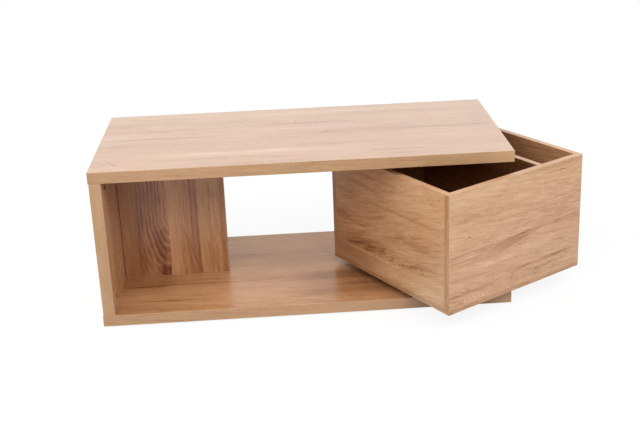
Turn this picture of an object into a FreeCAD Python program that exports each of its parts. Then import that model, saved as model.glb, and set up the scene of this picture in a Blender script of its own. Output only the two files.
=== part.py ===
import FreeCAD, Part
import math
import os
import re

import Sketcher

# A coffee table of wood-decor boards: a thick top, base and left side board, a thin upright centre board,
# and at the right end an open-topped box that swings out on a steel post.
#
# Millimetres, +Z up, +X along the table to its right, +Y to its back. The origin is on the floor under the
# middle of the table. The post's pieces and the box are drawn about the post's axis, the box as it stands
# when shut, and the box's placement then swings it open.

# Driving dimensions, in millimetres and degrees
SIZES = {
    # boards of the table
    "table_length": 1000,
    "table_depth": 450,
    "clear_height": 340,
    "board": 28,
    "panel": 15,
    "side_setback": 1.5,
    "centre_length": 271.5,
    "edge_band": 1,
    "edge_chamfer": 0.6,
    # swing box
    "box_width": 440,
    "box_depth": 450,
    "box_height": 300,
    "box_base": 12,
    "gap_under": 17,
    "narrow_width": 113,
    "pivot_inset": 70,
    "open_angle": 32.3,
    # glides under the base
    "glide_height": 4,
    "glide_diameter": 22,
    "glide_chamfer": 1.5,
    "glide_inset": 40,
    # cam fittings and dowels
    "cam_diameter": 15,
    "cam_setback": 54,
    "cam_from_edge": 28,
    "cam_recess": 0.4,
    "cam_depth": 20,
    "cam_slot_length": 9,
    "cam_slot_width": 2,
    "bolt_diameter": 6,
    "bolt_head": 7.6,
    "bolt_bite": 11,
    "dowel_diameter": 8,
    "dowel_deep": 24,
    "dowel_shallow": 10,
    "side_dowel_spacing": 170,
    "centre_dowel_spacing": 160,
    "dowel_row": 192,
    "bridge_dowel_diameter": 6,
    "bridge_dowel_spacing": 64,
    # pivot
    "post_diameter": 50,
    "post_wall": 2,
    "plate_diameter": 116,
    "plate_thickness": 3,
    "plate_circle": 100,
    "spigot_length": 30,
    "ring_diameter": 84,
    "bush_flange": 3,
    "bush_wall": 5,
    "lower_bush_rise": 5,
    "upper_bush_drop": 5,
    "upper_flange_diameter": 76,
    "bridge_below_rim": 20,
    "bridge_depth": 110,
    "grub_diameter": 6,
    "grub_bite": 3,
    # flat-headed screws
    "screw_diameter": 4.3,
    "screw_head": 8.8,
    "screw_head_height": 2.5,
    "plate_screw_length": 22,
    "box_screw_length": 40,
    # fits
    "running_gap": 0.05,
    "drill_gap": 0.1,
    "drill_extra": 0.5,
}
SIDES = 8
TOLERANCE = 1e-4

doc = FreeCAD.newDocument("swing_box_coffee_table")
sheet = doc.addObject("Spreadsheet::Sheet", "Sizes")
for row, (size_name, size_value) in enumerate(SIZES.items(), start=1):
    sheet.set(f"A{row}", size_name)
    sheet.set(f"B{row}", str(size_value))
    sheet.setAlias(f"B{row}", size_name)
doc.recompute()

# Levels and lines worked out from the driving dimensions
TABLE_RIGHT = "(table_length / 2)"
TABLE_LEFT = "(-table_length / 2)"
TABLE_BACK = "(table_depth / 2)"
TABLE_FRONT = "(-table_depth / 2)"
BASE_UNDER = "glide_height"
BASE_TOP = "(glide_height + board)"
TOP_UNDER = f"({BASE_TOP} + clear_height)"
TOP_FACE = f"({TOP_UNDER} + board)"
SIDE_OUTER = f"({TABLE_LEFT} + side_setback)"
SIDE_INNER = f"({SIDE_OUTER} + board)"
SIDE_MIDDLE = f"({SIDE_OUTER} + board / 2)"
CENTRE_END = f"({SIDE_INNER} + centre_length)"
CENTRE_MIDDLE = f"({SIDE_INNER} + centre_length / 2)"

PIVOT_X = f"({TABLE_RIGHT} - pivot_inset)"
PIVOT_Y = f"({TABLE_BACK} - pivot_inset)"
BOX_RIGHT = "pivot_inset"
BOX_LEFT = "(pivot_inset - box_width)"
BOX_BACK = "pivot_inset"
BOX_FRONT = "(pivot_inset - box_depth)"
BOX_UNDER = f"({BASE_TOP} + gap_under)"
BOX_FLOOR = f"({BOX_UNDER} + box_base)"
BOX_RIM = f"({BOX_UNDER} + box_height)"
INSIDE_FRONT = f"({BOX_FRONT} + panel)"
INSIDE_BACK = f"({BOX_BACK} - panel)"
END_SIDE_INNER = f"({BOX_RIGHT} - panel)"
DIVIDER_RIGHT = f"({END_SIDE_INNER} - narrow_width)"
DIVIDER_LEFT = f"({DIVIDER_RIGHT} - panel)"

TABLE, POST, SWING = "table", "post", "swing"
PLANES = {"x": "YZ_Plane", "y": "XZ_Plane", "z": "XY_Plane"}
SIZE_NAME = re.compile(rf"\b({'|'.join(SIZES)})\b")
pieces = []


def formula(text):
    """An expression for the document, with each size's name pointed at its cell."""
    return SIZE_NAME.sub(r"Sizes.\1", text)


def value(text):
    """The number that a formula gives now."""
    return float(sheet.evalExpression(formula(text)))


def piece(label, frame):
    """A new body, in the table's own frame, about the post, or about the post and swung open."""
    body = doc.addObject("PartDesign::Body", label)
    body.Label = label
    if frame != TABLE:
        body.setExpression("Placement.Base.x", formula(PIVOT_X))
        body.setExpression("Placement.Base.y", formula(PIVOT_Y))
    if frame == SWING:
        upright = FreeCAD.Vector(0, 0, 1)
        body.Placement = FreeCAD.Placement(FreeCAD.Vector(), FreeCAD.Rotation(upright, value("open_angle")))
        body.setExpression("Placement.Rotation.Angle", formula("open_angle"))
    pieces.append(body)
    return body


def new_sketch(body, axis, level):
    """A sketch square to an axis of the body, at a level along it."""
    sketch = body.newObject("Sketcher::SketchObject", f"{body.Name}_sketch")
    plane = next(feature for feature in body.Origin.OriginFeatures if feature.Role == PLANES[axis])
    sketch.AttachmentSupport = [(plane, "")]
    sketch.MapMode = "FlatFace"
    sign = "-" if axis == "y" else ""
    sketch.setExpression("AttachmentOffset.Base.z", formula(f"{sign}({level})"))
    return sketch


def hold(sketch, kind, geometry, point, text):
    """Hold a point of the sketch at a distance from its origin, bound to a formula."""
    number = sketch.addConstraint(Sketcher.Constraint(kind, -1, 1, geometry, point, value(text)))
    sketch.setExpression(f"Constraints[{number}]", formula(text))


def add_outline(sketch, corners):
    """A closed outline of straight lines, each corner held by a pair of formulas."""
    points = [FreeCAD.Vector(value(across), value(up), 0) for across, up in corners]
    lines = [
        sketch.addGeometry(Part.LineSegment(point, points[(number + 1) % len(points)]))
        for number, point in enumerate(points)
    ]
    for number, line in enumerate(lines):
        following = lines[(number + 1) % len(lines)]
        sketch.addConstraint(Sketcher.Constraint("Coincident", line, 2, following, 1))
    for line, (across, up) in zip(lines, corners):
        hold(sketch, "DistanceX", line, 1, across)
        hold(sketch, "DistanceY", line, 1, up)


def add_rectangle(sketch, across, up):
    """A rectangle between two (low, high) pairs of formulas."""
    corners = [(across[0], up[0]), (across[1], up[0]), (across[1], up[1]), (across[0], up[1])]
    add_outline(sketch, corners)


def add_circles(sketch, places, diameter):
    """Equal circles at pairs of formulas. Gives their numbers in the sketch."""
    circles = []
    for across, up in places:
        middle = FreeCAD.Vector(value(across), value(up), 0)
        circle = sketch.addGeometry(Part.Circle(middle, FreeCAD.Vector(0, 0, 1), value(diameter) / 2))
        hold(sketch, "DistanceX", circle, 3, across)
        hold(sketch, "DistanceY", circle, 3, up)
        number = sketch.addConstraint(Sketcher.Constraint("Diameter", circle, value(diameter)))
        sketch.setExpression(f"Constraints[{number}]", formula(diameter))
        circles.append(circle)
    return circles


def add_octagons(sketch, places, diameter):
    """Eight-sided outlines, each with its corners on a circle: small fasteners and their holes."""
    for circle in add_circles(sketch, places, diameter):
        sketch.setConstruction(circle, True)
        curve = sketch.Geometry[circle]
        corners = [curve.value(math.tau * (number + 0.5) / SIDES) for number in range(SIDES)]
        ends = zip([corners[-1], *corners], corners)
        sides = [sketch.addGeometry(Part.LineSegment(start, end)) for start, end in ends]
        rules = [Sketcher.Constraint("Vertical", sides[0])]
        for number, side in enumerate(sides):
            rules.append(Sketcher.Constraint("Coincident", sides[number - 1], 2, side, 1))
            rules.append(Sketcher.Constraint("PointOnObject", side, 1, circle))
        rules += [Sketcher.Constraint("Equal", sides[0], side) for side in sides[1:]]
        sketch.addConstraint(rules)


def pad(body, axis, span, draw):
    """Pad what draw puts in a sketch over a (low, high) span along the axis."""
    sketch = new_sketch(body, axis, span[1] if axis == "y" else span[0])
    draw(sketch)
    feature = body.newObject("PartDesign::Pad", f"{body.Name}_pad")
    feature.Profile = sketch
    feature.setExpression("Length", formula(f"({span[1]}) - ({span[0]})"))
    doc.recompute()
    return feature


def pocket(body, axis, span, draw):
    """Cut what draw puts in a sketch over a (low, high) span along the axis."""
    before = body.Shape.Volume
    sketch = new_sketch(body, axis, span[0] if axis == "y" else span[1])
    draw(sketch)
    feature = body.newObject("PartDesign::Pocket", f"{body.Name}_pocket")
    feature.Profile = sketch
    feature.setExpression("Length", formula(f"({span[1]}) - ({span[0]})"))
    doc.recompute()
    if body.Shape.Volume > before - TOLERANCE:
        raise RuntimeError(f"a pocket of {body.Label} cuts nothing")
    return feature


def strips(label, frame, axis, span, rectangles):
    """Flat pieces of one thickness: rectangles padded along the axis square to them."""
    body = piece(label, frame)

    def draw(sketch):
        for across, up in rectangles:
            add_rectangle(sketch, across, up)

    pad(body, axis, span, draw)
    return body


def add_rods(body, axis, span, places, diameter, section=add_octagons):
    """Rods along an axis, added to a body."""
    return pad(body, axis, span, lambda sketch: section(sketch, places, diameter))


def drill(body, axis, span, places, diameter, section=add_octagons):
    """Blind or through holes along an axis."""
    return pocket(body, axis, span, lambda sketch: section(sketch, places, diameter))


def turned(label, frame, profile):
    """A piece turned about the post's axis from a half profile of (radius, level) corners."""
    body = piece(label, frame)
    sketch = new_sketch(body, "y", "0")
    add_outline(sketch, profile)
    revolution = body.newObject("PartDesign::Revolution", f"{label}_turned")
    revolution.Profile = sketch
    revolution.ReferenceAxis = (sketch, ["V_Axis"])
    revolution.Angle = 360
    doc.recompute()
    return body


def break_edges(body, axis, levels, size, along="xyz"):
    """Chamfer the edges that lie at the given levels of one axis and run along the given axes."""
    flat = [value(level) for level in levels]
    base = body.Tip
    chosen = []
    for number, edge in enumerate(base.Shape.Edges, start=1):
        box = edge.BoundBox
        low = {"x": box.XMin, "y": box.YMin, "z": box.ZMin}
        high = {"x": box.XMax, "y": box.YMax, "z": box.ZMax}
        in_plane = high[axis] - low[axis] < TOLERANCE
        at_level = any(abs(low[axis] - level) < TOLERANCE for level in flat)
        runs = any(high[name] - low[name] > TOLERANCE for name in along)
        if in_plane and at_level and runs:
            chosen.append(f"Edge{number}")
    chamfer = body.newObject("PartDesign::Chamfer", f"{body.Name}_chamfer")
    chamfer.Base = (base, chosen)
    chamfer.setExpression("Size", formula(size))
    doc.recompute()


# Top and base boards, with strips glued over their raw edges
def flat_board(name, under, face):
    """A thick lying board and its edging, long strips first and end strips between them."""
    thickness = (under, face)
    inner_x = (f"{TABLE_LEFT} + edge_band", f"{TABLE_RIGHT} - edge_band")
    inner_y = (f"{TABLE_FRONT} + edge_band", f"{TABLE_BACK} - edge_band")
    front = (TABLE_FRONT, f"{TABLE_FRONT} + edge_band")
    back = (f"{TABLE_BACK} - edge_band", TABLE_BACK)
    left = (TABLE_LEFT, f"{TABLE_LEFT} + edge_band")
    right = (f"{TABLE_RIGHT} - edge_band", TABLE_RIGHT)
    full_x = (TABLE_LEFT, TABLE_RIGHT)
    board = strips(f"{name}_board", TABLE, "z", thickness, [(inner_x, inner_y)])
    long_edging = strips(f"{name}_long_edging", TABLE, "z", thickness, [(full_x, front), (full_x, back)])
    break_edges(long_edging, "y", [TABLE_FRONT, TABLE_BACK], "edge_chamfer")
    end_edging = strips(f"{name}_end_edging", TABLE, "z", thickness, [(left, inner_y), (right, inner_y)])
    break_edges(end_edging, "x", [TABLE_LEFT, TABLE_RIGHT], "edge_chamfer", along="y")
    return board


top_board = flat_board("top", TOP_UNDER, TOP_FACE)
bottom_board = flat_board("bottom", BASE_UNDER, BASE_TOP)

# Upright side board at the left end, between top and base
UPRIGHT = (BASE_TOP, TOP_UNDER)
side_span = (SIDE_OUTER, SIDE_INNER)
side_y = (f"{TABLE_FRONT} + edge_band", f"{TABLE_BACK} - edge_band")
side_board = strips("side_board", TABLE, "x", side_span, [(side_y, UPRIGHT)])
side_front = (TABLE_FRONT, f"{TABLE_FRONT} + edge_band")
side_back = (f"{TABLE_BACK} - edge_band", TABLE_BACK)
side_edging = strips("side_edging", TABLE, "x", side_span, [(side_front, UPRIGHT), (side_back, UPRIGHT)])
break_edges(side_edging, "y", [TABLE_FRONT, TABLE_BACK], "edge_chamfer", along="z")

# Upright centre board, half way back, from the side board towards the middle
centre_span = ("-panel / 2", "panel / 2")
centre_x = (SIDE_INNER, f"{CENTRE_END} - edge_band")
centre_board = strips("centre_board", TABLE, "y", centre_span, [(centre_x, UPRIGHT)])
centre_strip = (f"{CENTRE_END} - edge_band", CENTRE_END)
centre_edging = strips("centre_edging", TABLE, "y", centre_span, [(centre_strip, UPRIGHT)])
break_edges(centre_edging, "x", [CENTRE_END], "edge_chamfer", along="z")

# Dowels that locate the upright boards in top and base
dowel_hole = "dowel_diameter + 2 * drill_gap"


def dowelled(name, upright_board, places):
    """Dowels of one upright board, at top and bottom, and the holes that they stand in."""
    upper = (f"{TOP_UNDER} - dowel_deep", f"{TOP_UNDER} + dowel_shallow")
    lower = (f"{BASE_TOP} - dowel_shallow", f"{BASE_TOP} + dowel_deep")
    dowels = piece(f"{name}_dowels", TABLE)
    for span, flat_one in ((upper, top_board), (lower, bottom_board)):
        hole_span = (f"{span[0]} - drill_extra", f"{span[1]} + drill_extra")
        add_rods(dowels, "z", span, places, "dowel_diameter")
        drill(upright_board, "z", hole_span, places, dowel_hole)
        drill(flat_one, "z", hole_span, places, dowel_hole)


signs = ("-", "+")
side_dowel_places = [(SIDE_MIDDLE, f"0 {sign} side_dowel_spacing / 2") for sign in signs]
centre_dowel_places = [(f"{CENTRE_MIDDLE} {sign} centre_dowel_spacing / 2", "0") for sign in signs]
dowelled("side", side_board, side_dowel_places)
dowelled("centre", centre_board, centre_dowel_places)

# Bolts screwed into top and base, whose heads reach into the side board
UPPER_CAM = f"({TOP_UNDER} - cam_from_edge)"
LOWER_CAM = f"({BASE_TOP} + cam_from_edge)"
cam_lines = (f"({TABLE_FRONT} + cam_setback)", f"({TABLE_BACK} - cam_setback)")
bolt_places = [(SIDE_MIDDLE, line) for line in cam_lines]
bolt_hole = "bolt_diameter + 2 * drill_gap"
head_hole = "bolt_head + 8 * drill_gap"
upper_bolt = (UPPER_CAM, f"{TOP_UNDER} + bolt_bite")
lower_bolt = (f"{BASE_TOP} - bolt_bite", LOWER_CAM)
bolts = piece("side_cam_bolts", TABLE)
for bolt_span, cam_level in ((upper_bolt, UPPER_CAM), (lower_bolt, LOWER_CAM)):
    add_rods(bolts, "z", bolt_span, bolt_places, "bolt_diameter")
    head_span = (f"{cam_level} - bolt_head / 4", f"{cam_level} + bolt_head / 4")
    add_rods(bolts, "z", head_span, bolt_places, "bolt_head")
drill(top_board, "z", (TOP_UNDER, f"{upper_bolt[1]} + drill_extra"), bolt_places, bolt_hole)
drill(bottom_board, "z", (f"{lower_bolt[0]} - drill_extra", BASE_TOP), bolt_places, bolt_hole)
drill(side_board, "z", (UPPER_CAM, TOP_UNDER), bolt_places, head_hole)
drill(side_board, "z", (BASE_TOP, LOWER_CAM), bolt_places, head_hole)

# Cams let into the side board's inner face, each with a cross slot and a way in for its bolt
CAM_FACE = f"({SIDE_INNER} - cam_recess)"
CAM_END = f"({CAM_FACE} - cam_depth)"
cam_places = [(line, level) for line in cam_lines for level in (UPPER_CAM, LOWER_CAM)]
cam_hole = "cam_diameter + 2 * drill_gap"
drill(side_board, "x", (f"{CAM_END} - drill_extra", SIDE_INNER), cam_places, cam_hole, add_circles)
side_cams = piece("side_cams", TABLE)
add_rods(side_cams, "x", (CAM_END, CAM_FACE), cam_places, "cam_diameter", add_circles)
bolt_way = "bolt_head + 6 * drill_gap"
drill(side_cams, "z", (f"{UPPER_CAM} - bolt_head / 2", TOP_UNDER), bolt_places, bolt_way)
drill(side_cams, "z", (BASE_TOP, f"{LOWER_CAM} + bolt_head / 2"), bolt_places, bolt_way)


def add_slots(sketch, wide, high):
    """One bar of the cross slot in every cam."""
    for line, level in cam_places:
        across = (f"{line} - {wide} / 2", f"{line} + {wide} / 2")
        up = (f"{level} - {high} / 2", f"{level} + {high} / 2")
        add_rectangle(sketch, across, up)


slot_span = (f"{CAM_FACE} - cam_slot_width", CAM_FACE)
pocket(side_cams, "x", slot_span, lambda sketch: add_slots(sketch, "cam_slot_length", "cam_slot_width"))
pocket(side_cams, "x", slot_span, lambda sketch: add_slots(sketch, "cam_slot_width", "cam_slot_length"))

# Plastic glides under the base
glide_columns = (f"{TABLE_LEFT} + glide_inset", f"{TABLE_RIGHT} - glide_inset")
glide_rows = (f"{TABLE_FRONT} + glide_inset", f"{TABLE_BACK} - glide_inset")
glide_places = [(column, row) for column in glide_columns for row in glide_rows]
glides = piece("glides", TABLE)
add_rods(glides, "z", ("0", BASE_UNDER), glide_places, "glide_diameter", add_circles)
break_edges(glides, "z", ["0"], "glide_chamfer")

# Steel post: a tube welded on a foot plate, and a top plate with a spigot that plugs into the tube
POST_RADIUS = "(post_diameter / 2)"
POST_INNER = f"({POST_RADIUS} - post_wall)"
PLATE_RADIUS = "(plate_diameter / 2)"
FOOT_FACE = f"({BASE_TOP} + plate_thickness)"
PLATE_FACE = f"({TOP_UNDER} - plate_thickness)"
SPIGOT_RADIUS = f"({POST_INNER} - 2 * drill_gap)"
SPIGOT_END = f"({PLATE_FACE} - spigot_length)"


def ring(label, inner, outer, low, high):
    """A plain turned ring about the post's axis, or a disc where the inner radius is nought."""
    return turned(label, POST, [(inner, low), (outer, low), (outer, high), (inner, high)])


post_foot = ring("post_foot", "0", PLATE_RADIUS, BASE_TOP, FOOT_FACE)
pivot_post = ring("pivot_post", POST_INNER, POST_RADIUS, FOOT_FACE, PLATE_FACE)
post_top_plate = ring("post_top_plate", "0", PLATE_RADIUS, PLATE_FACE, TOP_UNDER)
post_spigot = ring("post_spigot", "0", SPIGOT_RADIUS, SPIGOT_END, PLATE_FACE)

# Grub screw through the tube's wall into a dimple of the spigot, which locks the two
GRUB_END = f"({POST_INNER} - grub_bite)"
grub_place = [("0", f"{PLATE_FACE} - spigot_length / 2")]
grub_hole = "grub_diameter + 2 * drill_gap"
for holed in (pivot_post, post_spigot):
    drill(holed, "x", (f"{GRUB_END} - drill_extra", "post_diameter"), grub_place, grub_hole)
grub_screw = piece("post_grub_screw", POST)
add_rods(grub_screw, "x", (GRUB_END, f"{POST_RADIUS} - drill_extra"), grub_place, "grub_diameter")

# Flat-headed screws
def add_screws(label, frame, places, face, length, held, points_up):
    """Screws whose heads bear on a face of the piece that they hold, and their holes through that piece."""
    body = piece(label, frame)
    shank_span = (face, f"{face} + {length}")
    head_span = (f"{face} - screw_head_height", face)
    if not points_up:
        shank_span = (f"{face} - {length}", face)
        head_span = (face, f"{face} + screw_head_height")
    add_rods(body, "z", shank_span, places, "screw_diameter")
    add_rods(body, "z", head_span, places, "screw_head")
    drill(held, "z", shank_span, places, "screw_diameter + 4 * drill_gap")


def on_table(places):
    """Places about the post, as places on the table."""
    return [(f"{PIVOT_X} + {across}", f"{PIVOT_Y} + {up}") for across, up in places]


# Screws of the post's two plates, into base and top
pilot = "screw_diameter + 2 * drill_gap"
plate_corner = "plate_circle / 2 * cos(45)"
plate_places = [(f"0 {x} {plate_corner}", f"0 {y} {plate_corner}") for x in signs for y in signs]
add_screws("foot_screws", POST, plate_places, FOOT_FACE, "plate_screw_length", post_foot, False)
foot_pilots = (f"{FOOT_FACE} - plate_screw_length - drill_extra", BASE_TOP)
drill(bottom_board, "z", foot_pilots, on_table(plate_places), pilot)
add_screws("top_plate_screws", POST, plate_places, PLATE_FACE, "plate_screw_length", post_top_plate, True)
top_pilots = (TOP_UNDER, f"{PLATE_FACE} + plate_screw_length + drill_extra")
drill(top_board, "z", top_pilots, on_table(plate_places), pilot)

# Thrust ring that lies on the foot plate and carries the box
RING_RADIUS = "(ring_diameter / 2)"
RING_FACE = f"({BOX_UNDER} - bush_flange)"
ring("thrust_ring", f"{POST_RADIUS} + drill_extra", RING_RADIUS, FOOT_FACE, RING_FACE)

# Bottom board of the box, under all its walls
box_x = (BOX_LEFT, BOX_RIGHT)
box_inner_x = (f"{BOX_LEFT} + edge_band", f"{BOX_RIGHT} - edge_band")
box_inner_y = (f"{BOX_FRONT} + edge_band", f"{BOX_BACK} - edge_band")
bottom_span = (BOX_UNDER, BOX_FLOOR)
box_bottom = strips("box_bottom", SWING, "z", bottom_span, [(box_inner_x, box_inner_y)])
bottom_front = (BOX_FRONT, f"{BOX_FRONT} + edge_band")
bottom_back = (f"{BOX_BACK} - edge_band", BOX_BACK)
bottom_long = [(box_x, bottom_front), (box_x, bottom_back)]
bottom_long_edging = strips("box_bottom_long_edging", SWING, "z", bottom_span, bottom_long)
break_edges(bottom_long_edging, "y", [BOX_FRONT, BOX_BACK], "edge_chamfer")
left_strip = (BOX_LEFT, f"{BOX_LEFT} + edge_band")
right_strip = (f"{BOX_RIGHT} - edge_band", BOX_RIGHT)
bottom_short = [(left_strip, box_inner_y), (right_strip, box_inner_y)]
bottom_short_edging = strips("box_bottom_short_edging", SWING, "z", bottom_span, bottom_short)
break_edges(bottom_short_edging, "x", [BOX_LEFT, BOX_RIGHT], "edge_chamfer", along="y")

# Walls of the box: front and back run through, the sides and the divider stand between them
wall_z = (BOX_FLOOR, f"{BOX_RIM} - edge_band")
rim_z = (f"{BOX_RIM} - edge_band", BOX_RIM)
front_span = (BOX_FRONT, INSIDE_FRONT)
back_span = (INSIDE_BACK, BOX_BACK)
between = (INSIDE_FRONT, INSIDE_BACK)
inner_side_span = (BOX_LEFT, f"{BOX_LEFT} + panel")
divider_span = (DIVIDER_LEFT, DIVIDER_RIGHT)
end_side_span = (END_SIDE_INNER, BOX_RIGHT)
box_front = strips("box_front", SWING, "y", front_span, [(box_inner_x, wall_z)])
box_back = strips("box_back", SWING, "y", back_span, [(box_inner_x, wall_z)])
box_inner_side = strips("box_inner_side", SWING, "x", inner_side_span, [(between, wall_z)])
box_divider = strips("box_divider", SWING, "x", divider_span, [(between, wall_z)])
box_end_side = strips("box_end_side", SWING, "x", end_side_span, [(between, wall_z)])

# Strips on the walls' rims and on the upright ends of front and back
front_rims = strips("box_front_rims", SWING, "z", rim_z, [(box_x, front_span), (box_x, back_span)])
break_edges(front_rims, "z", [BOX_RIM], "edge_chamfer")
side_spans = (inner_side_span, divider_span, end_side_span)
side_rims = strips("box_side_rims", SWING, "z", rim_z, [(span, between) for span in side_spans])
break_edges(side_rims, "z", [BOX_RIM], "edge_chamfer", along="y")
end_strips = [(across, up) for across in (left_strip, right_strip) for up in (front_span, back_span)]
end_edging = strips("box_end_edging", SWING, "z", wall_z, end_strips)
break_edges(end_edging, "x", [BOX_LEFT, BOX_RIGHT], "edge_chamfer", along="z")

# Glued dowels between the front and back and the walls that stand between them
ROW_MIDDLE = f"({BOX_FLOOR} + {BOX_RIM}) / 2"
dowel_rows = [f"{ROW_MIDDLE} {sign} dowel_row / 2" for sign in signs]
wall_lines = {
    box_inner_side: f"{BOX_LEFT} + panel / 2",
    box_divider: f"{DIVIDER_LEFT} + panel / 2",
    box_end_side: f"{BOX_RIGHT} - panel / 2",
}
box_dowels = piece("box_dowels", SWING)
box_dowel_places = [(line, row) for line in wall_lines.values() for row in dowel_rows]
front_dowels = (f"{INSIDE_FRONT} - dowel_shallow", f"{INSIDE_FRONT} + dowel_deep")
back_dowels = (f"{INSIDE_BACK} - dowel_deep", f"{INSIDE_BACK} + dowel_shallow")
for span in (front_dowels, back_dowels):
    add_rods(box_dowels, "y", span, box_dowel_places, "dowel_diameter")
front_holes = (f"{front_dowels[0]} - drill_extra", f"{front_dowels[1]} + drill_extra")
back_holes = (f"{back_dowels[0]} - drill_extra", f"{back_dowels[1]} + drill_extra")
drill(box_front, "y", front_holes, box_dowel_places, dowel_hole)
drill(box_back, "y", back_holes, box_dowel_places, dowel_hole)
for wall, line in wall_lines.items():
    wall_places = [(line, row) for row in dowel_rows]
    drill(wall, "y", front_holes, wall_places, dowel_hole)
    drill(wall, "y", back_holes, wall_places, dowel_hole)

# Bridge board across the narrow compartment, which guides the box on the post
BRIDGE_TOP = f"({BOX_RIM} - bridge_below_rim)"
BRIDGE_UNDER = f"({BRIDGE_TOP} - panel)"
BUSH_BORE = f"({POST_RADIUS} + running_gap)"
BUSH_OUTER = f"({POST_RADIUS} + bush_wall)"
bush_hole = f"2 * ({BUSH_OUTER} + drill_gap)"
bridge_x = (DIVIDER_RIGHT, END_SIDE_INNER)
bridge_y = (f"{INSIDE_BACK} - bridge_depth", INSIDE_BACK)
bridge_span = (BRIDGE_UNDER, BRIDGE_TOP)
pivot_bridge = strips("pivot_bridge", SWING, "z", bridge_span, [(bridge_x, bridge_y)])
drill(pivot_bridge, "z", bridge_span, [("0", "0")], bush_hole, add_circles)

# Dowels that carry the bridge in the divider and the end side
bridge_level = f"({BRIDGE_UNDER} + panel / 2)"
bridge_middle = f"({INSIDE_BACK} - bridge_depth / 2)"
bridge_places = [(f"{bridge_middle} {sign} bridge_dowel_spacing / 2", bridge_level) for sign in signs]
bridge_hole = "bridge_dowel_diameter + 2 * drill_gap"
bridge_dowels = piece("bridge_dowels", SWING)
for seam, wall in ((DIVIDER_RIGHT, box_divider), (END_SIDE_INNER, box_end_side)):
    span = (f"{seam} - dowel_shallow", f"{seam} + dowel_shallow")
    hole_span = (f"{span[0]} - drill_extra", f"{span[1]} + drill_extra")
    add_rods(bridge_dowels, "x", span, bridge_places, "bridge_dowel_diameter")
    drill(pivot_bridge, "x", hole_span, bridge_places, bridge_hole)
    drill(wall, "x", hole_span, bridge_places, bridge_hole)

# Flanged bushes that run on the post, below in the bottom board and above in the bridge
lower_profile = [
    (BUSH_BORE, RING_FACE),
    (RING_RADIUS, RING_FACE),
    (RING_RADIUS, BOX_UNDER),
    (BUSH_OUTER, BOX_UNDER),
    (BUSH_OUTER, f"{BOX_FLOOR} + lower_bush_rise"),
    (BUSH_BORE, f"{BOX_FLOOR} + lower_bush_rise"),
]
upper_profile = [
    (BUSH_BORE, f"{BRIDGE_UNDER} - upper_bush_drop"),
    (BUSH_OUTER, f"{BRIDGE_UNDER} - upper_bush_drop"),
    (BUSH_OUTER, BRIDGE_TOP),
    ("upper_flange_diameter / 2", BRIDGE_TOP),
    ("upper_flange_diameter / 2", f"{BRIDGE_TOP} + bush_flange"),
    (BUSH_BORE, f"{BRIDGE_TOP} + bush_flange"),
]
turned("lower_bush", SWING, lower_profile)
turned("upper_bush", SWING, upper_profile)
drill(box_bottom, "z", bottom_span, [("0", "0")], bush_hole, add_circles)

# Screws up through the bottom board, two into every wall
box_quarters = [f"{BOX_LEFT} + box_width * {number} / 4" for number in (1, 3)]
side_quarters = [f"{BOX_FRONT} + box_depth * {number} / 4" for number in (1, 3)]
wall_screws = {
    box_front: [(across, f"{BOX_FRONT} + panel / 2") for across in box_quarters],
    box_back: [(across, f"{BOX_BACK} - panel / 2") for across in box_quarters],
}
wall_screws |= {wall: [(line, up) for up in side_quarters] for wall, line in wall_lines.items()}
screw_places = [place for places in wall_screws.values() for place in places]
add_screws("box_bottom_screws", SWING, screw_places, BOX_UNDER, "box_screw_length", box_bottom, True)
screw_hole_span = (BOX_FLOOR, f"{BOX_UNDER} + box_screw_length + drill_extra")
for wall, places in wall_screws.items():
    drill(wall, "z", screw_hole_span, places, pilot)

doc.recompute()
for thing in doc.Objects:
    if "Invalid" in thing.State or "Error" in thing.State:
        raise RuntimeError(f"{thing.Label} failed: {thing.State}")
for body in pieces:
    if body.Shape.isNull() or not body.Shape.isValid() or not body.Shape.Solids:
        raise RuntimeError(f"{body.Label} has no valid solid")

os.makedirs("parts", exist_ok=True)
for body in pieces:
    body.Shape.exportStep(f"parts/{body.Label}.step")
print(len(pieces), "pieces,", sum(len(body.Shape.Solids) for body in pieces), "solids")
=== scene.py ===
import math

import bmesh
import bpy
from mathutils import Matrix, Vector


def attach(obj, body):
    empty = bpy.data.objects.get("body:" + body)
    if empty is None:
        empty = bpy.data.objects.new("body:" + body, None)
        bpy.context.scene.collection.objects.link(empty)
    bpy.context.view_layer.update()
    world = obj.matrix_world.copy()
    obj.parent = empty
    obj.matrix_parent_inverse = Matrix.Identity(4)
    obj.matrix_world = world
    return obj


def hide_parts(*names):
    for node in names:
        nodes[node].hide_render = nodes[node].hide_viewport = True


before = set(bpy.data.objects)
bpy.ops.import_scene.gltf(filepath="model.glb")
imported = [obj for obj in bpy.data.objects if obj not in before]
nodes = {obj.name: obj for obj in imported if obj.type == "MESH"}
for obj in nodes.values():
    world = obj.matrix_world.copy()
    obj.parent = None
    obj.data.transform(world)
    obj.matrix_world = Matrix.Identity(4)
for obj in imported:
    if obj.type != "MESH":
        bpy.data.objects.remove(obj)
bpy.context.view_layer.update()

# Base board: 28 mm chipboard with oak-print paper pressed on both faces under a satin resin, grain along
# the table. The side board, the centre board and the post's foot stand on it.
def shader_node(tree, kind, sockets=None, **settings):
    """Add a node, set its properties, and fill or link its input sockets by name or number."""
    made = tree.nodes.new(kind)
    for name, setting in settings.items():
        setattr(made, name, setting)
    for name, source in (sockets or {}).items():
        source = getattr(source, "socket", source)
        if isinstance(source, bpy.types.NodeSocket):
            tree.links.new(source, made.inputs[name])
        else:
            made.inputs[name].default_value = source
    return made


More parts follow.
